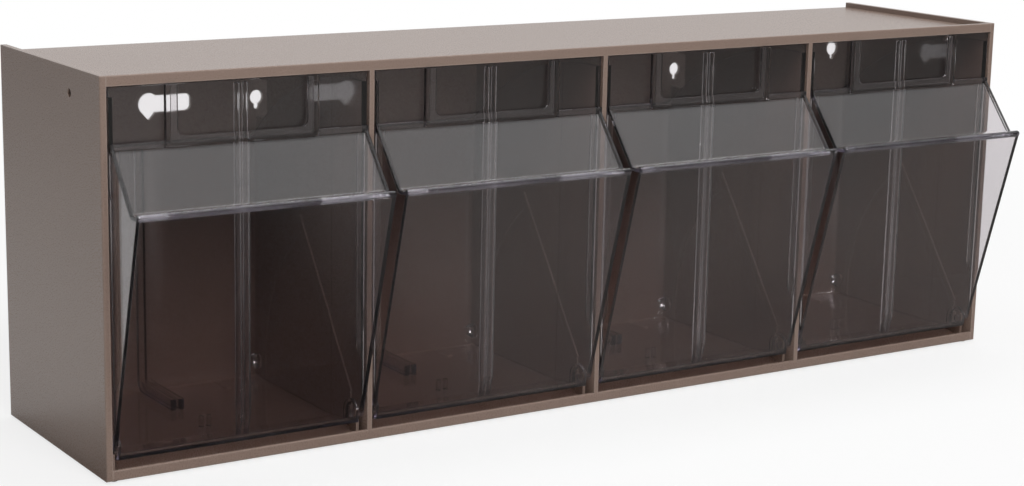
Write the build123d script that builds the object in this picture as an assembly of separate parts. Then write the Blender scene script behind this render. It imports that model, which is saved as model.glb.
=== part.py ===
from build123d import *
import math
import os

# Four-compartment tilt-out bin unit: one moulded cabinet and four clear bins.
# Millimetres.  +X runs along the width, the bins open towards -Y, +Z is up.
# The origin is the middle of the bounding box on the surface the unit stands on.
# Sizes below are measured from the cabinet's front plane (y) and its underside (z).

# ---- cabinet ----
bin_count = 4
cabinet_width = 600.0
cabinet_depth = 137.0
cabinet_height = 206.0
side_wall = 3.4
divider_wall = 2.8
back_wall = 2.4
floor_panel = 2.4
top_panel = 2.3
rim_height = 3.1            # side lips and front rim above the top panel
rim_depth = 3.0
sill_height = 5.6
sill_depth = 2.4
edge_radius = 0.9

# ---- stacking pegs under the corners ----
peg_height = 1.2
peg_radius = 2.0
peg_clearance = 0.3         # peg to the lip that it drops behind on the unit below

# ---- bins ----
bin_gap_side = 1.3
bin_gap_back = 0.9
bin_gap_top = 0.6
bin_gap_floor = 1.6
bin_wall = 2.0
face_inset = 0.8            # front face of the label band behind the front plane
ramp_run = 35.5             # depth at which the level floor starts
toe_depth = 3.0             # lowest point of the bin's front
toe_height = 9.8
ramp_front_wall = 2.3       # ramp's thickness behind the toe; it thins to bin_wall
toe_cove = 1.7              # run of the cove between the tapered panel and the ramp
floor_cove_radius = 6.0     # inside, where the floor turns up into the back
corner_radius = 5.0         # inside, in the upright rear corners
front_wall_step = 0.5       # extra side wall thickness in front of the floor kink
rear_top_gap = 5.6          # swing clearance of the side walls' curved top

# ---- nose (hood that is bonded to the bin's front) ----
nose_reach = 32.8           # front plane to the outside of the lip
lip_height = 140.6
lip_radius = 1.9
lip_bury = 0.8              # tapered panel's top corner inside the lip's bead
ledge_run = 9.4             # ledge from the slanted panel's foot to the outside of the lip
ledge_height = 141.0        # top of that ledge
ledge_cove = 3.0            # between the slanted panel and the ledge
hood_round = 0.7            # rounding of the hood's outer edges
lip_end_round = 1.6
bond_gap = 0.05             # glue line between the hood and the bin's face
hood_wall = 2.0
hood_tab = 3.5              # upright tab on the label band
hood_top = 172.0            # top of that tab
cheek_rim = 0.9             # cheek edge that stands above the slanted panel

# ---- label holder on the band ----
label_width = 85.0
label_frame = 6.2
label_foot = 5.1
label_bottom = 168.9
label_stand = 2.6
label_slot = 0.9            # room for the card behind the frame's lips
label_slot_bite = 3.4
label_corner = 4.0
label_outer_corner = 2.0
label_notch_gap = 0.3       # hood's tab to the label holder

# ---- divider guides ----
post_web = 1.2
post_depth = 3.6
guide_rib = 2.9
guide_slot = 1.7
guide_top_gap = 1.4
rear_guide_depth = 3.0
floor_guide_run = 46.0
floor_guide_height = 6.0
guide_knob_radius = 1.7
guide_peg_depth = 49.5      # pair of short pegs ahead of the floor guides
guide_peg_radius = 1.4
guide_round = 0.8
flange_width = 3.4          # stiffening flange inside each side wall
flange_foot = 44.5
flange_chamfer = 8.5

# ---- pivots ----
pivot_depth = 10.0
pivot_height = 13.5
pin_radius = 2.2
pin_clearance = 0.2
pin_end_gap = 0.2
bracket_offset = 2.0        # bracket plate from the cell's wall
bracket_thickness = 1.6
bracket_margin = 1.4        # plate beside and above the pin
pocket_clearance = 1.2
pocket_wall = 1.6
pocket_side_gap = 0.4       # pocket's face to the bracket plate

# ---- tilt stop and guide ribs on the cell walls ----
tilt_limit = 51.0
rib_stand = 0.9
stop_rib_width = 4.4
arc_rib_width = 3.0
arc_rib_radius = 111.0
stop_rib_foot = 12.0
boss_radius = 4.6
boss_rear_inset = 4.4
boss_height = 14.3
stop_clearance = 0.3
stop_rib_end_inset = 1.5    # rib's end inside the circle of the boss's centre
rest_clearance = 0.3        # closed bin above the pads at the back of its cell
rest_pad_width = 3.0
rest_pad_run = 20.0
rest_pad_offset = 45.0      # pads either side of the cell's middle

# ---- holes in the cabinet ----
side_hole_radius = 2.3
side_hole_depth = 39.5
side_hole_drop = 13.2       # below the cabinet's top edge
hanging_spacing = 300.0
hanging_radius = 4.1
hanging_tail_radius = 1.7
hanging_top_drop = 37.1     # below the cabinet's top edge
hanging_drop = 5.2
relief_depth = 14.0
relief_height = 22.0
relief_width = 73.0
outer_hole_inset = 16.5
outer_hole_radius = 4.8
outer_hole_rise = 6.9
outer_hole_drop = 5.8
keyhole_inset = 83.5
keyhole_radius = 6.3
keyhole_tip_radius = 1.4
keyhole_drop = 7.4
keyhole_slot_height = 9.6
keyhole_slot_run = 25.5
keyhole_slot_corner = 3.2

# ---- sizes that follow ----
hanging_height = cabinet_height - hanging_top_drop
side_hole_height = cabinet_height - side_hole_drop
cell_width = (cabinet_width - 2 * side_wall - (bin_count - 1) * divider_wall) / bin_count
cell_pitch = cell_width + divider_wall
cell_top = cabinet_height - rim_height - top_panel
cell_back = cabinet_depth - back_wall
cell_centres = [(i - (bin_count - 1) / 2) * cell_pitch for i in range(bin_count)]

bin_half = cell_width / 2 - bin_gap_side
bin_back = cell_back - bin_gap_back
bin_top = cell_top - bin_gap_top
floor_under = floor_panel + bin_gap_floor
floor_top = floor_under + bin_wall
back_inner = bin_back - bin_wall
band_back = face_inset + bin_wall
band_bottom = hood_top - hood_tab
swing_radius = cell_top - pivot_height - rear_top_gap
wall_end = math.sqrt(swing_radius**2 - (bin_back - pivot_depth) ** 2) + pivot_height
wall_start = math.sqrt(swing_radius**2 - (pivot_depth - band_back) ** 2) + pivot_height

lip_centre = (lip_radius - nose_reach, lip_height)
lip_front = (lip_bury - nose_reach, lip_height)
ledge_front = (lip_radius - nose_reach, ledge_height)
ledge_heel = (ledge_run - nose_reach, ledge_height)
slant_top = (face_inset - hood_wall, band_bottom)
toe = (toe_depth, toe_height)

boss_centre = (bin_back - boss_rear_inset, boss_height)
boss_arm = math.hypot(boss_centre[0] - pivot_depth, boss_centre[1] - pivot_height)
boss_angle = math.degrees(math.atan2(boss_centre[1] - pivot_height, boss_centre[0] - pivot_depth))
stop_gap_angle = math.degrees(
    math.asin((boss_radius + stop_rib_width / 2 + stop_clearance) / boss_arm))
stop_angle = tilt_limit + boss_angle + stop_gap_angle

bracket_half = pin_radius + pin_clearance + bracket_margin
bracket_top = pivot_height + bracket_half
pocket_radius = math.hypot(bracket_half, bracket_half) + pocket_clearance
pocket_face = bin_half - (bracket_offset + bracket_thickness - bin_gap_side) - pocket_side_gap
guide_middle = (guide_slot + guide_rib) / 2
overshoot = 1.0             # cutting tools reach this far past the faces they cut

overall_depth = cabinet_depth + nose_reach
to_part_frame = Pos(0, nose_reach - overall_depth / 2, peg_height)


# ---- small helpers ----
def block(x0, x1, y0, y1, z0, z1):
    """Box between two opposite corners."""
    centre = Pos((x0 + x1) / 2, (y0 + y1) / 2, (z0 + z1) / 2)
    return centre * Box(x1 - x0, y1 - y0, z1 - z0)


def side_slab(points, x0, x1):
    """Polygon drawn in the side view (y, z), filled from x0 to x1."""
    outline = make_face(Polyline(*[(y, z) for y, z in points], close=True).edges())
    return Pos(x0, 0, 0) * extrude(Plane.YZ * outline, x1 - x0)


def round_bar(centre, radius, x0, x1):
    """Cylinder along x through a point of the side view."""
    return Pos(x0, 0, 0) * extrude(Plane.YZ * Pos(*centre) * Circle(radius), x1 - x0)


def strip(p, q, thickness, x0, x1):
    """Flat panel with one face from p to q in the side view; thickness to the left of p-q."""
    far_p, far_q = shifted(p, q, thickness)
    return side_slab([p, q, far_q, far_p], x0, x1)


def meet(p, q, r, s):
    """Point of the side view where the line through p and q crosses the line through r and s."""
    run_a, rise_a = q[0] - p[0], q[1] - p[1]
    run_b, rise_b = s[0] - r[0], s[1] - r[1]
    along = ((r[0] - p[0]) * rise_b - (r[1] - p[1]) * run_b) / (run_a * rise_b - rise_a * run_b)
    return (p[0] + along * run_a, p[1] + along * rise_a)


def shifted(p, q, distance):
    """The line p-q moved sideways, to its left, by a distance."""
    run, rise = q[0] - p[0], q[1] - p[1]
    length = math.hypot(run, rise)
    dy, dz = -rise / length * distance, run / length * distance
    return (p[0] + dy, p[1] + dz), (q[0] + dy, q[1] + dz)


def round_edges(shape, radius, points):
    """Rounds the edge nearest to each point."""
    return fillet([shape.edges().sort_by_distance(point)[0] for point in points], radius)


def upright_bar(x, y, radius, z0, z1):
    """Upright cylinder."""
    return Pos(x, y, (z0 + z1) / 2) * Cylinder(radius, z1 - z0)


def mirrored(shape):
    """A shape and its mirror image about the plane x = 0."""
    return shape + mirror(shape, Plane.YZ)


def polar(radius, angle):
    """Point of the side view at a radius and an angle from the pivot."""
    turn = math.radians(angle)
    return (pivot_depth + radius * math.cos(turn), pivot_height + radius * math.sin(turn))


# ---- points of the side view that the bin's body and its hood share ----
ramp_line = (toe, (ramp_run, floor_under))
front_line = (toe, lip_front)
inner_front_line = shifted(toe, lip_front, -hood_wall)
face_line = ((face_inset, 0), (face_inset, bin_top))
cross = meet(*front_line, *face_line)
inner_cross = meet(*inner_front_line, *face_line)
heel = meet(*ramp_line, *inner_front_line)


# ---- cabinet ----
def teardrop(x, z, radius, tip_radius, drop):
    """Vertical teardrop through the back wall: a round hole that narrows downwards."""
    reach = math.sqrt(drop**2 - (radius - tip_radius) ** 2)
    side_y = (radius - tip_radius) * radius / drop
    tip_y = (radius - tip_radius) * tip_radius / drop
    flank = Polyline(
        (-radius * reach / drop, -side_y), (-tip_radius * reach / drop, -drop - tip_y),
        (tip_radius * reach / drop, -drop - tip_y), (radius * reach / drop, -side_y), close=True)
    sketch = Circle(radius) + Pos(0, -drop) * Circle(tip_radius) + make_face(flank.edges())
    tool = extrude(Plane.XZ * sketch, back_wall, both=True)
    return Pos(x, cabinet_depth - back_wall / 2, z) * tool


def tailed_hole(x, z, radius, drop):
    """Round hole through the back wall with a narrow tail hanging from it."""
    tail = Pos(0, -drop / 2) * Rectangle(2 * hanging_tail_radius, drop)
    sketch = Circle(radius) + tail + Pos(0, -drop) * Circle(hanging_tail_radius)
    tool = extrude(Plane.XZ * sketch, back_wall, both=True)
    return Pos(x, cabinet_depth - back_wall / 2, z) * tool


def back_openings():
    """Hanging holes, keyholes and the divider reliefs around the middle pair."""
    hang_x = hanging_spacing / 2
    outer_x = cabinet_width / 2 - outer_hole_inset
    key_x = cabinet_width / 2 - keyhole_inset
    slot_z = hanging_height - keyhole_slot_height / 2
    slot_y = cabinet_depth - back_wall - rim_depth
    cuts = tailed_hole(-hang_x, hanging_height, hanging_radius, hanging_drop)
    cuts += tailed_hole(-outer_x, hanging_height + outer_hole_rise, outer_hole_radius,
                        outer_hole_drop)
    cuts += teardrop(-key_x, hanging_height, keyhole_radius, keyhole_tip_radius, keyhole_drop)
    slot = block(-key_x, -key_x + keyhole_slot_run, slot_y, cabinet_depth + overshoot,
                 slot_z, slot_z + keyhole_slot_height)
    slot = fillet(slot.edges().filter_by(Axis.Y).group_by(Axis.X)[-1], keyhole_slot_corner)
    cuts += slot
    relief_z = hanging_height - relief_height / 2
    cuts += block(-hang_x - relief_width / 2, -hang_x + relief_width / 2,
                  cell_back - relief_depth, cell_back, relief_z, relief_z + relief_height)
    return mirrored(cuts)


def wall_ribs():
    """Stop rib and arc rib on the right-hand wall of the cell at x = 0."""
    wall = cell_width / 2
    inner = wall - rib_stand
    root = wall + divider_wall / 2
    reach = boss_arm - stop_rib_end_inset
    half = stop_rib_width / 2
    foot = polar(stop_rib_foot, stop_angle)
    tip = polar(reach, stop_angle)
    stop = strip(foot, tip, half, inner, root) + strip(tip, foot, half, inner, root)
    stop += block(inner, root, foot[0] - half / 2, foot[0] + half / 2, floor_panel, foot[1])
    ring = round_bar((pivot_depth, pivot_height), arc_rib_radius + arc_rib_width / 2, inner, root)
    ring -= round_bar((pivot_depth, pivot_height), arc_rib_radius - arc_rib_width / 2,
                      inner - overshoot, root + overshoot)
    far = 2 * arc_rib_radius
    sector = side_slab([(pivot_depth, floor_panel), (pivot_depth + far, floor_panel),
                        polar(far, stop_angle), (pivot_depth, pivot_height)], inner, root)
    return stop + (ring & sector)


def floor_stands():
    """Pivot bracket with its open slot, and rest pad, in the right-hand half of a cell."""
    wall = cell_width / 2
    plate_x = wall - bracket_offset - bracket_thickness
    plate = block(plate_x, plate_x + bracket_thickness, pivot_depth - bracket_half,
                  pivot_depth + bracket_half, floor_panel / 2, bracket_top)
    slot_half = pin_radius + pin_clearance
    plate -= round_bar((pivot_depth, pivot_height), slot_half, plate_x - overshoot, wall)
    plate -= block(plate_x - overshoot, wall, pivot_depth - slot_half, pivot_depth + slot_half,
                   pivot_height, bracket_top + overshoot)
    pad_x = rest_pad_offset - rest_pad_width / 2
    pad = block(pad_x, pad_x + rest_pad_width, cell_back - rest_pad_run,
                cell_back + back_wall / 2, floor_panel / 2, floor_under - rest_clearance)
    return plate + pad


def cabinet_blank():
    """Cabinet without ribs, brackets or holes: outer walls, dividers, sill and rims."""
    half = cabinet_width / 2
    shell = block(-half, half, 0, cabinet_depth, 0, cabinet_height)
    long_edges = shell.edges().filter_by(Axis.X).sort_by(Axis.Y)[:2]
    upright_edges = shell.edges().filter_by(Axis.Z).sort_by(Axis.Y)[:2]
    shell = fillet(long_edges + upright_edges, edge_radius)
    shell -= block(-half + side_wall, half - side_wall, rim_depth, cabinet_depth + overshoot,
                   cabinet_height - rim_height, cabinet_height + overshoot)
    for x in cell_centres:
        shell -= block(x - cell_width / 2, x + cell_width / 2, -overshoot, cell_back,
                       floor_panel, cell_top)
    sill = block(-half + side_wall / 2, half - side_wall / 2, 0, sill_depth,
                 floor_panel / 2, sill_height)
    return shell + fillet(sill.edges().filter_by(Axis.X).group_by(Axis.Z)[-1], edge_radius)


def cabinet_shell():
    """Everything of the cabinet between its end walls."""
    half = cabinet_width / 2
    inner = half - side_wall
    shell = cabinet_blank() & block(-inner, inner, -overshoot, cabinet_depth + overshoot,
                                    -overshoot, cabinet_height + overshoot)
    ribs = mirrored(wall_ribs())
    stands = mirrored(floor_stands())
    for x in cell_centres:
        shell += Pos(x, 0, 0) * stands
    for left, right in zip(cell_centres, cell_centres[1:]):
        middle = (left + right) / 2
        both = block(middle - cell_width / 2, middle + cell_width / 2, 0, cell_back,
                     floor_panel, cell_top)
        shell += (Pos(left, 0, 0) * ribs + Pos(right, 0, 0) * ribs) & both
    shell -= back_openings()
    inset = peg_clearance + peg_radius
    peg_x = half - side_wall - inset
    for y in (rim_depth + inset, cabinet_depth - rim_depth - inset):
        shell += mirrored(upright_bar(peg_x, y, peg_radius, -peg_height, 0))
    return shell


def end_wall():
    """Right-hand end wall of the cabinet with its ribs and its side hole."""
    half = cabinet_width / 2
    inner = half - side_wall
    wall = cabinet_blank() & block(inner, half + overshoot, -overshoot, cabinet_depth + overshoot,
                                   -overshoot, cabinet_height + overshoot)
    near = block(inner - cell_width / 2, half, 0, cell_back, floor_panel, cell_top)
    wall += Pos(cell_centres[-1], 0, 0) * wall_ribs() & near
    return wall - round_bar((side_hole_depth, side_hole_height), side_hole_radius,
                            inner - side_wall, half + side_wall)


# ---- bin body ----
def rear_arc(back, level, radius):
    """Start, middle and end of the rounded corner between the back and the floor, side view."""
    centre = (back - radius, level + radius)
    lean = radius * math.sqrt(0.5)
    return (back, level + radius), (centre[0] + lean, centre[1] - lean), (back - radius, level)


def bin_side_outline():
    """Outside of the bin from the side: upright front, curved top about the pivot, ramped floor."""
    crown = (face_inset, bin_top)
    start = (band_back, wall_start)
    end = (bin_back, wall_end)
    start_angle = math.degrees(math.atan2(start[1] - pivot_height, start[0] - pivot_depth))
    end_angle = math.degrees(math.atan2(end[1] - pivot_height, end[0] - pivot_depth))
    crest = polar(swing_radius, (start_angle + end_angle) / 2)
    turn = rear_arc(bin_back, floor_under, floor_cove_radius + bin_wall)
    lines = Polyline(turn[2], (ramp_run, floor_under), heel, inner_cross, crown,
                     (band_back, bin_top), start)
    edges = lines.edges() + ThreePointArc(start, crest, end).edges()
    edges += Line(end, turn[0]).edges() + ThreePointArc(*turn).edges()
    return make_face(edges)


def cavity_side_outline():
    """Inside of the bin from the side; it runs out past the open front and the open top."""
    turn = rear_arc(back_inner, floor_top, floor_cove_radius)
    lines = Polyline(turn[2], (ramp_run, floor_top), (-nose_reach, floor_top),
                     (-nose_reach, bin_top + overshoot), (back_inner, bin_top + overshoot), turn[0])
    return make_face(lines.edges() + ThreePointArc(*turn).edges())


def upright_column(half, back, radius):
    """Column of a given half width and back, rounded at its two upright rear corners."""
    column = block(-half, half, -nose_reach, back, 0, cabinet_height)
    return fillet(column.edges().filter_by(Axis.Z).group_by(Axis.Y)[-1], radius)


def bin_outside(outline):
    """The bin as a solid block with its outside shape and rounded upright rear corners."""
    solid = Pos(-bin_half, 0, 0) * extrude(Plane.YZ * outline, 2 * bin_half)
    return solid & upright_column(bin_half, bin_back, corner_radius + bin_wall)


def bin_cavity():
    """The room inside the bin, open at the top and the front."""
    inner = bin_half - bin_wall
    room = Pos(-inner, 0, 0) * extrude(Plane.YZ * cavity_side_outline(), 2 * inner)
    return room & upright_column(inner, back_inner, corner_radius)


def pivot_corner():
    """Pocket housing, pocket and pin at the right-hand lower front corner."""
    housing_face = pocket_face - pocket_wall
    radius = pocket_radius + pocket_wall
    housing = round_bar((pivot_depth, pivot_height), radius, housing_face, bin_half)
    housing += block(housing_face, bin_half, face_inset, pivot_depth + radius,
                     floor_under, pivot_height)
    pocket = round_bar((pivot_depth, pivot_height), pocket_radius, pocket_face,
                       bin_half + overshoot)
    pocket += block(pocket_face, bin_half + overshoot, -nose_reach, pivot_depth + pocket_radius,
                    0, pivot_height)
    pin = round_bar((pivot_depth, pivot_height), pin_radius, pocket_face - pocket_wall / 2,
                    bin_half - pin_end_gap)
    return housing, pocket, pin


def front_post():
    """Post behind the open front with two ribs that a loose divider slides between."""
    outer = guide_slot / 2 + guide_rib
    rib = block(guide_slot / 2, outer, face_inset, face_inset + post_depth, toe_height,
                bin_top - guide_top_gap)
    rib = fillet(rib.edges().filter_by(Axis.Y).group_by(Axis.Z)[-1], guide_round)
    rib = fillet(rib.edges().filter_by(Axis.Z).group_by(Axis.Y)[-1], guide_round)
    web = block(-guide_middle, guide_middle, face_inset, face_inset + post_web, toe_height,
                band_bottom + bin_wall)
    behind_front = side_slab([heel, inner_cross, (face_inset, bin_top), (ramp_run, bin_top),
                              (ramp_run, floor_under)], -outer, outer)
    return (mirrored(rib) + web) & behind_front


def rear_guides():
    """Ribs on the back wall, and rails and pegs on the floor, for the loose divider."""
    outer = guide_slot / 2 + guide_rib
    rail_front = back_inner - floor_guide_run
    rail_top = floor_top + floor_guide_height
    rib = block(guide_slot / 2, outer, back_inner - rear_guide_depth, bin_back, floor_under,
                wall_end - guide_top_gap)
    right = fillet(rib.edges().filter_by(Axis.Z).group_by(Axis.Y)[0], guide_round)
    right += block(guide_slot / 2, outer, rail_front, back_inner, floor_under, rail_top)
    right += upright_bar(guide_middle, rail_front, guide_knob_radius, floor_under, rail_top)
    right += upright_bar(guide_middle, guide_peg_depth, guide_peg_radius, floor_under, rail_top)
    return mirrored(right)


def label_holder():
    """U-shaped frame, open at the top, with a slot behind its inner edge for the card."""
    half = label_width / 2
    y0, y1 = face_inset - label_stand, face_inset
    frame = block(-half, half, y0, y1 + bin_wall / 2, label_bottom, bin_top)
    frame = fillet(frame.edges().filter_by(Axis.Y).group_by(Axis.Z)[0], label_outer_corner)
    window = block(-half + label_frame, half - label_frame, y0 - overshoot, y1,
                   label_bottom + label_foot, bin_top + overshoot)
    window = fillet(window.edges().filter_by(Axis.Y).group_by(Axis.Z)[0], label_corner)
    side = label_frame - label_slot_bite
    foot = label_foot - label_slot_bite
    card = block(-half + side, half - side, y1 - label_slot, y1, label_bottom + foot,
                 bin_top + overshoot)
    return frame - window - card


def ramp():
    """Ramp from the toe to the level floor, coved where the tapered panel stands on it."""
    ramp_top = ((toe[0], toe[1] + ramp_front_wall), (ramp_run, floor_top))
    corner = meet(*inner_front_line, *ramp_top)
    up = math.atan2(lip_front[1] - toe[1], lip_front[0] - toe[0])
    along = math.atan2(ramp_top[1][1] - ramp_top[0][1], ramp_top[1][0] - ramp_top[0][0])
    on_panel = (corner[0] + toe_cove * math.cos(up), corner[1] + toe_cove * math.sin(up))
    on_ramp = (corner[0] + toe_cove * math.cos(along), corner[1] + toe_cove * math.sin(along))
    return side_slab([heel, on_panel, on_ramp, ramp_top[1], (ramp_run, floor_under)],
                     -bin_half, bin_half)


def bin_body():
    """Clear bin: side walls, floor, back, label band, ramp, guides, flanges, pockets, bosses."""
    outline = bin_side_outline()
    housing, pocket, pin = pivot_corner()
    inner = bin_half - bin_wall
    stud_end = bin_half + rib_stand
    limits = Pos(-stud_end, 0, 0) * extrude(Plane.YZ * outline, 2 * stud_end)
    cavity = bin_cavity()
    body = bin_outside(outline) - cavity
    thick = Pos(inner - front_wall_step, 0, 0) * extrude(
        Plane.YZ * outline, bin_wall + front_wall_step)
    wall = thick & block(inner - front_wall_step, bin_half, -nose_reach, ramp_run, 0, bin_top)
    wall += housing & limits
    corner = flange_foot + flange_chamfer
    flange_top = band_bottom + bin_wall / 2
    flange = make_face(Polyline(
        (inner - flange_width, corner), (inner, flange_foot), (inner + bin_wall / 2, flange_foot),
        (inner + bin_wall / 2, flange_top), (inner - flange_width, flange_top),
        close=True).edges())
    wall += Pos(0, band_back, 0) * extrude(Plane.XZ * flange, bin_wall)
    body += mirrored(wall)
    body += ramp()
    body += block(-bin_half, bin_half, face_inset, band_back, band_bottom, bin_top)
    body += front_post()
    body += rear_guides() & limits
    body += label_holder()
    body -= mirrored(pocket)
    body += mirrored(pin)
    stud = round_bar(boss_centre, boss_radius, inner - corner_radius, stud_end)
    return body + mirrored((stud & limits) - cavity)


# ---- nose hood ----
def front_panel():
    """Tapered panel from the lip down to the toe, its bottom flush with the ramp's underside."""
    inner_top = inner_front_line[1]
    panel = side_slab([toe, lip_front, inner_top, heel], -bin_half, bin_half)
    middle = ((toe[0] + lip_front[0]) / 2, (toe[1] + lip_front[1]) / 2)
    return round_edges(panel, hood_round, [(-bin_half, *middle), (bin_half, *middle)])


def cheek_plate():
    """Right-hand cheek: its edge stands above the slanted panel and drops to the ledge."""
    rim_line = shifted(ledge_heel, slant_top, cheek_rim)
    tip = meet(*front_line, ledge_front, ledge_heel)
    foot = meet(*rim_line, ledge_front, ledge_heel)
    rim_end = meet(*rim_line, (slant_top[0], 0), slant_top)
    cheek = side_slab([cross, tip, foot, rim_end, (slant_top[0], hood_top),
                       (face_inset, hood_top)], bin_half - hood_wall, bin_half)
    rim_middle = ((foot[0] + rim_end[0]) / 2, (foot[1] + rim_end[1]) / 2)
    front_middle = ((cross[0] + tip[0]) / 2, (cross[1] + tip[1]) / 2)
    return round_edges(cheek, hood_round, [(bin_half, *rim_middle), (bin_half, *front_middle),
                                           (bin_half - hood_wall, *rim_middle)])


def slanted_panel():
    """Slanted panel down from the tab, with a cove into the level ledge behind the lip."""
    slope = (slant_top[1] - ledge_heel[1]) / (slant_top[0] - ledge_heel[0])
    end_y = face_inset + hood_wall
    end = (end_y, slant_top[1] + (end_y - slant_top[0]) * slope)
    under_slant = shifted(ledge_heel, end, -hood_wall)
    under_ledge = shifted(ledge_front, ledge_heel, -hood_wall)
    knee = meet(*under_slant, *under_ledge)
    panel = side_slab([ledge_front, ledge_heel, end, under_slant[1], knee, under_ledge[0]],
                      hood_round - bin_half, bin_half - hood_round)
    panel = round_edges(panel, ledge_cove, [(0, *ledge_heel)])
    return round_edges(panel, ledge_cove + hood_wall, [(0, *knee)])


def nose_hood():
    """Clear wedge in front of the bin: two cheeks, slanted panel, tapered panel, lip, tab."""
    ahead = block(-bin_half, bin_half, -2 * nose_reach, face_inset - bond_gap, 0, bin_top)
    tab = block(hood_round - bin_half, bin_half - hood_round, slant_top[0], face_inset,
                band_bottom, hood_top)
    hood = (mirrored(cheek_plate()) + slanted_panel() + tab) & ahead
    hood += front_panel()
    lip = round_bar(lip_centre, lip_radius, -bin_half, bin_half)
    hood += fillet(lip.edges().filter_by(GeomType.CIRCLE), lip_end_round)
    notch_half = label_width / 2 + label_notch_gap
    notch = block(-notch_half, notch_half, slant_top[0] - label_stand, face_inset,
                  label_bottom - label_notch_gap, hood_top + overshoot)
    pocket = pivot_corner()[1]
    return hood - notch - mirrored(pocket)


os.makedirs("parts", exist_ok=True)
right_end = end_wall()
pieces = {
    "cabinet_shell": cabinet_shell(),
    "cabinet_end_right": right_end,
    "cabinet_end_left": mirror(right_end, Plane.YZ),
}
body_shape = bin_body()
hood_shape = nose_hood()
for number, centre in enumerate(cell_centres, start=1):
    pieces[f"bin_{number}_body"] = Pos(centre, 0, 0) * body_shape
    pieces[f"bin_{number}_nose"] = Pos(centre, 0, 0) * hood_shape
for name, shape in pieces.items():
    piece = to_part_frame * shape
    piece.label = name
    export_step(piece, f"parts/{name}.step")
print(f"cell centres {[round(c, 2) for c in cell_centres]}")
print(f"pivot at y {nose_reach - overall_depth / 2 + pivot_depth:.3f} "
      f"z {peg_height + pivot_height:.3f}, stop rib at {stop_angle:.2f} degrees")
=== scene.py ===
import math

import bpy
from mathutils import Matrix, Vector

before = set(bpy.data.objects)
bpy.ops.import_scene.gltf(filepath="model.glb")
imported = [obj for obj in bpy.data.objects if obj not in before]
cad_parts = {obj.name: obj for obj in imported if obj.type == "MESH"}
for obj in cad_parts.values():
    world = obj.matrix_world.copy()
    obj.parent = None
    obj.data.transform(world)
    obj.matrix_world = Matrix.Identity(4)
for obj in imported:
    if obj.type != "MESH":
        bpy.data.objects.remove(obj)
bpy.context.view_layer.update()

# ---- the photograph's view, in metres ----
image_width_px = 1024
focal_length_px = 2173.9
sensor_width_mm = 36.0
camera_place = Vector((-0.7006, -1.0367, 0.3523))
camera_aim = Vector((-0.0599, -0.0521, 0.1010))
camera_roll = math.radians(1.193)

# ---- cabinet's finish: linear colours, lengths in metres ----
cabinet_colour = (0.245, 0.176, 0.144)
cabinet_shade = (0.225, 0.158, 0.128)
cabinet_highlight = (0.360, 0.285, 0.245)
cabinet_ior = 1.49
cabinet_grain = 1400.0
cabinet_grain_height = 0.12
cabinet_roughness = (0.24, 0.34)
highlight_width = 0.0011           # painted highlight: paler band along the cabinet's edges and ribs

# ---- bins' finish ----
clear_colour = (0.870, 0.848, 0.858)
clear_shadow = (0.640, 0.600, 0.585)    # tint of the light that a clear face lets into its shadow
clear_depth_colour = (0.74, 0.70, 0.84)
clear_depth_density = 14.0
clear_ior = 1.59
clear_grain = 60.0
clear_grain_height = 0.02
clear_roughness = (0.02, 0.05)

# ---- what both finishes share ----
edge_round = 0.00045
grain_depth = 0.00004
drift_scale = 9.0
drift_detail = 3.0
grain_detail = 2.0
noise_span = (0.3, 0.7)
highlight_span = (0.995, 0.80)     # cosine between face and bevelled normal: plain, fully painted highlight
bevel_samples = 4

# ---- floor, in metres and linear colours ----
floor_reach = 6.0
floor_colour = (0.90, 0.90, 0.90)
floor_glow = 0.75               # share of plain white in the floor as the camera sees it
floor_glow_span = (0.35, 1.1)   # distance over which that share grows to the whole
reflected_shade_dark = (0.05, 0.05, 0.05)       # painted shade for reflections: darker floor in front of the object, at the left
reflected_shade_pale = (0.36, 0.345, 0.335)       # the same painted shade, paler, further right
reflected_shade_left_right = (-0.15, -0.02)       # where the one turns into the other
reflected_shade_back_front = (0.10, -0.05)        # where the painted shade begins, back to front

# ---- studio, by the way a ray looks (1 is straight along the axis) ----
wall_colour = (0.8, 0.8, 0.8)
room_light = 0.52               # light that the studio's walls give all round
left_wall = 0.26                # share of that light that comes from the far left
left_wall_span = (-0.7, 0.2)
room_dim = 0.05                 # what gloss mirrors from the camera's side of the studio
room_bright = 1.05              # what it mirrors from the white backdrop behind the object
backdrop_span = (-0.1, 0.35)
ceiling_bright = 1.38
ceiling_span = (0.45, 0.75)
softboxes = [                   # name, place, aim, width, height, watts
    ("softbox_top", (0.45, 0.30, 1.55), (0.45, 0.0, 0.1), 1.9, 0.7, 9.0),
    ("softbox_front", (-0.35, -1.45, 1.55), (0.0, 0.0, 0.1), 0.9, 0.7, 25.0),
]


# ---- node helpers ----
def solid(colour):
    """Colour with full opacity, as sockets take it."""
    return (*colour, 1.0)


def feed(tree, socket, source):
    """Link an output to a socket, or set the socket to a plain value."""
    if isinstance(source, bpy.types.NodeSocket):
        tree.links.new(source, socket)
    else:
        socket.default_value = source


def calculate(tree, operation, first, second, clamp=False):
    """Result of one sum on two numbers."""
    node = tree.nodes.new("ShaderNodeMath")
    node.operation = operation
    node.use_clamp = clamp
    feed(tree, node.inputs[0], first)
    feed(tree, node.inputs[1], second)
    return node.outputs["Value"]


def remap(tree, value, reads, gives, smooth=False):
    """Number carried from one span to another and held inside it."""
    node = tree.nodes.new("ShaderNodeMapRange")
    if smooth:
        node.interpolation_type = "SMOOTHSTEP"
    feed(tree, node.inputs["Value"], value)
    for label, source in zip(("From Min", "From Max", "To Min", "To Max"), (*reads, *gives)):
        feed(tree, node.inputs[label], source)
    return node.outputs["Result"]


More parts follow.
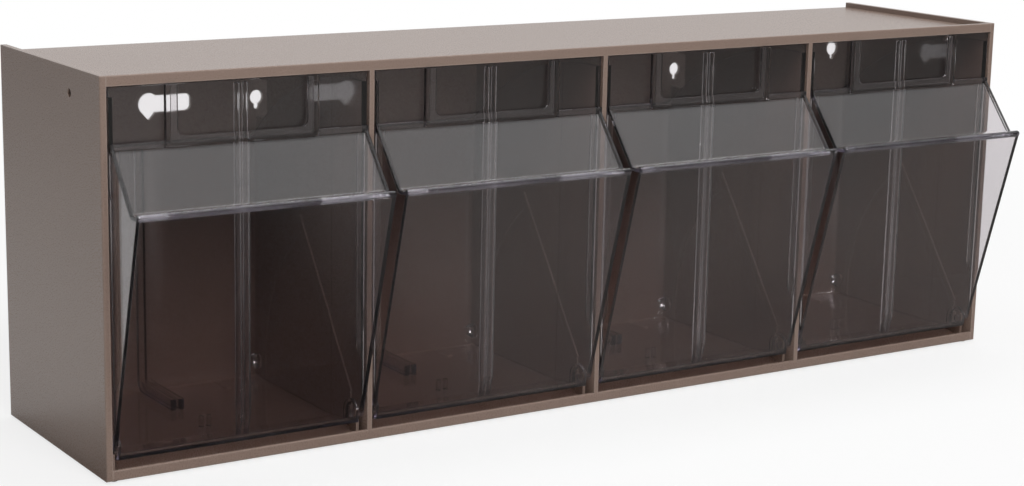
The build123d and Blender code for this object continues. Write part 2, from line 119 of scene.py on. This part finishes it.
def mix_colours(tree, share, first, second):
    """Blend of two colours."""
    node = tree.nodes.new("ShaderNodeMix")
    node.data_type = "RGBA"
    feed(tree, node.inputs["Factor"], share)
    feed(tree, node.inputs["A"], first)
    feed(tree, node.inputs["B"], second)
    return node.outputs["Result"]


def mix_shaders(tree, share, first, second):
    """Blend of two shaders."""
    node = tree.nodes.new("ShaderNodeMixShader")
    feed(tree, node.inputs["Fac"], share)
    tree.links.new(first, node.inputs[1])
    tree.links.new(second, node.inputs[2])
    return node.outputs["Shader"]


def noise(tree, place, scale, detail):
    """Noise value at a place."""
    node = tree.nodes.new("ShaderNodeTexNoise")
    feed(tree, node.inputs["Vector"], place)
    feed(tree, node.inputs["Scale"], scale)
    feed(tree, node.inputs["Detail"], detail)
    return node.outputs["Fac"]


def bevelled_normal(tree, radius):
    """Normal that runs round the edges in an arc of the given radius."""
    node = tree.nodes.new("ShaderNodeBevel")
    node.samples = bevel_samples
    feed(tree, node.inputs["Radius"], radius)
    return node.outputs["Normal"]


def split_axes(tree, vector):
    """The X, Y and Z outputs of a vector."""
    node = tree.nodes.new("ShaderNodeSeparateXYZ")
    tree.links.new(vector, node.inputs["Vector"])
    return node.outputs


def before_matt(tree, path):
    """1 on a light path that hasn't met a matt surface yet, else 0."""
    return calculate(tree, "LESS_THAN", path["Diffuse Depth"], 0.5)


def new_group(name, inputs, outputs):
    """Empty shader node group with the named sockets; returns the group and its two ends."""
    group = bpy.data.node_groups.new(name, "ShaderNodeTree")
    for label, kind, value in inputs:
        socket = group.interface.new_socket(label, in_out="INPUT", socket_type=kind)
        socket.default_value = value
    for label, kind in outputs:
        group.interface.new_socket(label, in_out="OUTPUT", socket_type=kind)
    start = group.nodes.new("NodeGroupInput")
    end = group.nodes.new("NodeGroupOutput")
    return group, start, end


def place_group(tree, group, **values):
    """Node that uses a group in a material, with its inputs set by name."""
    node = tree.nodes.new("ShaderNodeGroup")
    node.node_tree = group
    for label, value in values.items():
        node.inputs[label.replace("_", " ")].default_value = value
    return node


def new_material(name):
    """Material with an empty node tree and its output."""
    material = bpy.data.materials.new(name)
    material.use_nodes = True
    material.node_tree.nodes.clear()
    out = material.node_tree.nodes.new("ShaderNodeOutputMaterial")
    return material, material.node_tree, out


# ---- finishes ----
def moulded_skin_group():
    """Fine moulded grain: colour drift and roughness from two noises, a normal for the grain, and
    a painted highlight: a paler tone where a wide bevel's normal turns away from the face's own,
    along every edge."""
    group, start, end = new_group(
        "moulded_skin",
        [("Colour", "NodeSocketColor", solid((0.5, 0.5, 0.5))),
         ("Shade", "NodeSocketColor", solid((0.4, 0.4, 0.4))),
         ("Rubbed", "NodeSocketColor", solid((0.6, 0.6, 0.6))),
         ("Grain Scale", "NodeSocketFloat", 900.0),
         ("Grain Height", "NodeSocketFloat", 0.2),
         ("Low Roughness", "NodeSocketFloat", 0.35),
         ("High Roughness", "NodeSocketFloat", 0.5),
         ("Edge Round", "NodeSocketFloat", 0.0004),
         ("Rubbed Width", "NodeSocketFloat", 0.001)],
        [("Colour", "NodeSocketColor"), ("Roughness", "NodeSocketFloat"),
         ("Normal", "NodeSocketVector")])
    given = start.outputs
    place = group.nodes.new("ShaderNodeTexCoord").outputs["Object"]
    drift = noise(group, place, drift_scale, drift_detail)
    grain = noise(group, place, given["Grain Scale"], grain_detail)

    turned = group.nodes.new("ShaderNodeVectorMath")
    turned.operation = "DOT_PRODUCT"
    face = group.nodes.new("ShaderNodeNewGeometry")
    feed(group, turned.inputs[0], bevelled_normal(group, given["Rubbed Width"]))
    feed(group, turned.inputs[1], face.outputs["Normal"])
    # Painted highlight: edges and ribs turn paler, standing in for the light they catch.
    highlight_share = remap(group, turned.outputs["Value"], highlight_span, (0.0, 1.0))
    plain = mix_colours(group, drift, given["Shade"], given["Colour"])
    feed(group, end.inputs["Colour"], mix_colours(group, highlight_share, plain, given["Rubbed"]))

    roughness = (given["Low Roughness"], given["High Roughness"])
    feed(group, end.inputs["Roughness"], remap(group, grain, noise_span, roughness))

    bump = group.nodes.new("ShaderNodeBump")
    feed(group, bump.inputs["Distance"], grain_depth)
    feed(group, bump.inputs["Strength"], given["Grain Height"])
    feed(group, bump.inputs["Height"], grain)
    feed(group, bump.inputs["Normal"], bevelled_normal(group, given["Edge Round"]))
    feed(group, end.inputs["Normal"], bump.outputs["Normal"])
    return group


def skinned_body(tree, look, ior):
    """Principled surface that takes its colour, roughness and normal from a skin."""
    body = tree.nodes.new("ShaderNodeBsdfPrincipled")
    body.inputs["IOR"].default_value = ior
    tree.links.new(look.outputs["Colour"], body.inputs["Base Color"])
    tree.links.new(look.outputs["Roughness"], body.inputs["Roughness"])
    tree.links.new(look.outputs["Normal"], body.inputs["Normal"])
    return body


def cabinet_plastic(skin):
    """Opaque brown moulding with a satin surface."""
    material, tree, out = new_material("cabinet_plastic")
    look = place_group(
        tree, skin, Colour=solid(cabinet_colour), Shade=solid(cabinet_shade),
        Rubbed=solid(cabinet_highlight), Grain_Scale=cabinet_grain,
        Grain_Height=cabinet_grain_height, Low_Roughness=cabinet_roughness[0],
        High_Roughness=cabinet_roughness[1], Edge_Round=edge_round, Rubbed_Width=highlight_width)
    body = skinned_body(tree, look, cabinet_ior)
    tree.links.new(body.outputs["BSDF"], out.inputs["Surface"])
    return material


def clear_plastic(skin):
    """Clear polystyrene; shadow rays pass straight through it with its tint."""
    material, tree, out = new_material("clear_plastic")
    look = place_group(
        tree, skin, Colour=solid(clear_colour), Shade=solid(clear_colour),
        Rubbed=solid(clear_colour), Grain_Scale=clear_grain, Grain_Height=clear_grain_height,
        Low_Roughness=clear_roughness[0], High_Roughness=clear_roughness[1],
        Edge_Round=edge_round, Rubbed_Width=edge_round)
    body = skinned_body(tree, look, clear_ior)
    body.inputs["Transmission Weight"].default_value = 1.0
    path = tree.nodes.new("ShaderNodeLightPath").outputs
    through = tree.nodes.new("ShaderNodeBsdfTransparent")
    through.inputs["Color"].default_value = solid(clear_shadow)
    surface = mix_shaders(tree, path["Is Shadow Ray"], body.outputs["BSDF"],
                          through.outputs["BSDF"])
    tree.links.new(surface, out.inputs["Surface"])
    depth = tree.nodes.new("ShaderNodeVolumeAbsorption")
    depth.inputs["Color"].default_value = solid(clear_depth_colour)
    depth.inputs["Density"].default_value = clear_depth_density
    tree.links.new(depth.outputs["Volume"], out.inputs["Volume"])
    return material


def floor_finish():
    """Pale matt floor that keeps the shadow: near white to the camera and through clear plastic.
    Gloss sees a painted shade instead: a darker floor in front of the object, paler towards the
    right."""
    material, tree, out = new_material("pale_floor")
    path = tree.nodes.new("ShaderNodeLightPath").outputs
    place = tree.nodes.new("ShaderNodeTexCoord").outputs["Object"]
    axes = split_axes(tree, place)

    pale = tree.nodes.new("ShaderNodeBsdfDiffuse")
    pale.inputs["Color"].default_value = solid(floor_colour)
    white = tree.nodes.new("ShaderNodeEmission")
    away = tree.nodes.new("ShaderNodeVectorMath")
    away.operation = "LENGTH"
    tree.links.new(place, away.inputs[0])
    glow = remap(tree, away.outputs["Value"], floor_glow_span, (floor_glow, 1.0))
    seen = calculate(tree, "MAXIMUM", path["Is Camera Ray"], path["Is Transmission Ray"])
    share = calculate(tree, "MULTIPLY", seen, glow)
    sweep = mix_shaders(tree, share, pale.outputs["BSDF"], white.outputs["Emission"])

    # Painted shade, seen only in reflections: darker at the left, paler to the right.
    reflected_shade = tree.nodes.new("ShaderNodeBsdfDiffuse")
    right = remap(tree, axes["X"], reflected_shade_left_right, (0.0, 1.0), smooth=True)
    tone = mix_colours(tree, right, solid(reflected_shade_dark), solid(reflected_shade_pale))
    tree.links.new(tone, reflected_shade.inputs["Color"])
    mirrored = calculate(tree, "MULTIPLY", path["Glossy Depth"], before_matt(tree, path),
                         clamp=True)
    front = remap(tree, axes["Y"], reflected_shade_back_front, (0.0, 1.0))
    shade_share = calculate(tree, "MULTIPLY", mirrored, front)
    surface = mix_shaders(tree, shade_share, sweep, reflected_shade.outputs["BSDF"])
    tree.links.new(surface, out.inputs["Surface"])
    return material


# ---- stage ----
def add_floor():
    """Large flat floor under the object."""
    mesh = bpy.data.meshes.new("floor")
    corners = [(x * floor_reach, y * floor_reach, 0.0)
               for x, y in ((-1, -1), (1, -1), (1, 1), (-1, 1))]
    mesh.from_pydata(corners, [], [(0, 1, 2, 3)])
    floor = bpy.data.objects.new("floor", mesh)
    bpy.context.scene.collection.objects.link(floor)
    floor.data.materials.append(floor_finish())


def background(tree, colour, strength):
    """World light of one colour."""
    node = tree.nodes.new("ShaderNodeBackground")
    node.inputs["Color"].default_value = solid(colour)
    feed(tree, node.inputs["Strength"], strength)
    return node.outputs["Background"]


def add_world():
    """White to the camera. Gloss and clear plastic find a dim room with a white back and ceiling,
    and matt surfaces get the walls' light, less of it from the left."""
    world = bpy.data.worlds.new("studio")
    bpy.context.scene.world = world
    world.use_nodes = True
    tree = world.node_tree
    tree.nodes.clear()
    out = tree.nodes.new("ShaderNodeOutputWorld")
    path = tree.nodes.new("ShaderNodeLightPath").outputs
    axes = split_axes(tree, tree.nodes.new("ShaderNodeTexCoord").outputs["Generated"])

    back = remap(tree, axes["Y"], backdrop_span, (room_dim, room_bright))
    up = remap(tree, axes["Z"], ceiling_span, (0.0, ceiling_bright))
    room = background(tree, wall_colour, calculate(tree, "MAXIMUM", back, up))

    # Light inside a bin comes with the shadow rays, so it isn't counted again here.
    inside = calculate(tree, "MULTIPLY", path["Diffuse Depth"], path["Is Transmission Ray"],
                       clamp=True)
    side = remap(tree, axes["X"], left_wall_span, (room_light * left_wall, room_light))
    walls = background(tree, wall_colour, remap(tree, inside, (0.0, 1.0), (side, 0.0)))

    sees = calculate(tree, "MAXIMUM", path["Is Glossy Ray"], path["Is Transmission Ray"])
    mirrored = calculate(tree, "MULTIPLY", sees, before_matt(tree, path))
    gloss = mix_shaders(tree, mirrored, walls, room)
    backdrop = background(tree, (1.0, 1.0, 1.0), 1.0)
    tree.links.new(mix_shaders(tree, path["Is Camera Ray"], gloss, backdrop),
                   out.inputs["Surface"])


def add_softbox(name, place, aim, width, height, watts):
    """Rectangular area light that faces a point."""
    lamp = bpy.data.lights.new(name, "AREA")
    lamp.shape = "RECTANGLE"
    lamp.size = width
    lamp.size_y = height
    lamp.energy = watts
    box = bpy.data.objects.new(name, lamp)
    turn = (Vector(aim) - Vector(place)).to_track_quat("-Z", "Y").to_matrix().to_4x4()
    box.matrix_world = Matrix.Translation(place) @ turn
    bpy.context.scene.collection.objects.link(box)


def add_camera():
    """Camera at the photograph's place, aimed at one point and rolled about its own axis."""
    data = bpy.data.cameras.new("photo_view")
    data.sensor_fit = "HORIZONTAL"
    data.sensor_width = sensor_width_mm
    data.lens = focal_length_px / image_width_px * sensor_width_mm
    data.clip_start = 0.01
    data.clip_end = 50.0
    camera = bpy.data.objects.new("photo_view", data)
    turn = (camera_aim - camera_place).to_track_quat("-Z", "Y").to_matrix().to_4x4()
    camera.matrix_world = (Matrix.Translation(camera_place) @ turn
                           @ Matrix.Rotation(camera_roll, 4, "Z"))
    bpy.context.scene.collection.objects.link(camera)
    bpy.context.scene.camera = camera


# ---- the object ----
skin = moulded_skin_group()
brown = cabinet_plastic(skin)
clear = clear_plastic(skin)
for name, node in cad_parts.items():
    node.data.materials.clear()
    node.data.materials.append(brown if name.startswith("cabinet") else clear)

add_floor()
add_world()
for softbox in softboxes:
    add_softbox(*softbox)
add_camera()

# Light crosses many clear faces, and total reflection inside an edge counts as gloss.
scene = bpy.context.scene
scene.view_settings.view_transform = "Standard"
scene.cycles.max_bounces = 18
scene.cycles.glossy_bounces = 14
scene.cycles.transmission_bounces = 16
scene.cycles.transparent_max_bounces = 24
